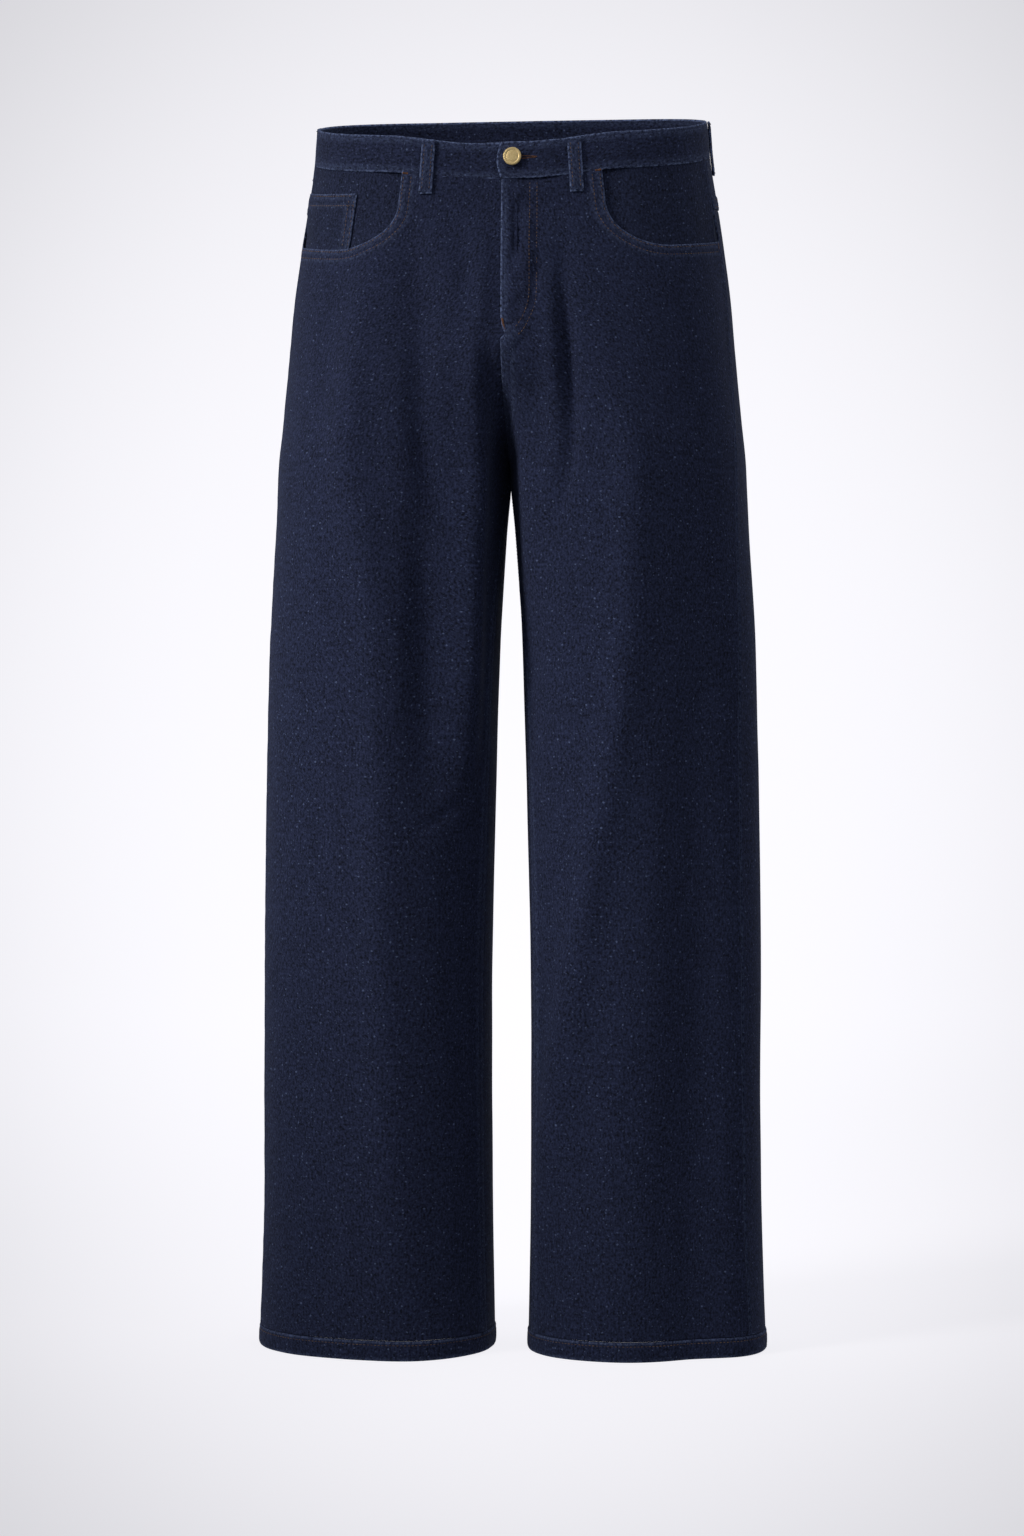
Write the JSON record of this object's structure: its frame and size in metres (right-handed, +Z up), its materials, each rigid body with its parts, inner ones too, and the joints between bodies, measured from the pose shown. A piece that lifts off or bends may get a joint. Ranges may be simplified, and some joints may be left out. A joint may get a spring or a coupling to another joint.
{
  "type": "wide leg jeans",
  "caption": "High-waisted wide leg jeans in dark denim, filled out and hollow, standing on their hems, with a fly button, scooped pockets and belt loops.",
  "frame": {"origin": "on the ground, at the middle of the whole part's box, between the two hems", "axes": "+Z up the legs to the waist, the front faces -Y, +X is the wearer's left"},
  "size_m": [0.4409, 0.2483, 1.0839],
  "materials": {
    "denim": "dark indigo cotton denim, matt, with paler worn seams",
    "pocket_denim": "dark indigo cotton denim in the pocket openings, matt",
    "brass": "satin aged brass button",
    "label": "plain pale woven label"
  },
  "bodies": {
    "root": {"front_left": "denim", "front_right": "denim", "back_left": "denim", "back_right": "denim", "yoke_left": "denim", "yoke_right": "denim", "waistband": "denim", "pocket_bearer_left": "pocket_denim", "pocket_bearer_right": "pocket_denim", "coin_pocket": "pocket_denim", "back_pocket_left": "denim", "back_pocket_right": "denim", "hem_left": "denim", "hem_right": "denim", "belt_loop_front_left": "denim", "belt_loop_front_right": "denim", "belt_loop_side_left": "denim", "belt_loop_side_right": "denim", "belt_loop_back": "denim", "button": "brass", "waist_label": "label"}
  },
  "joints": []
}
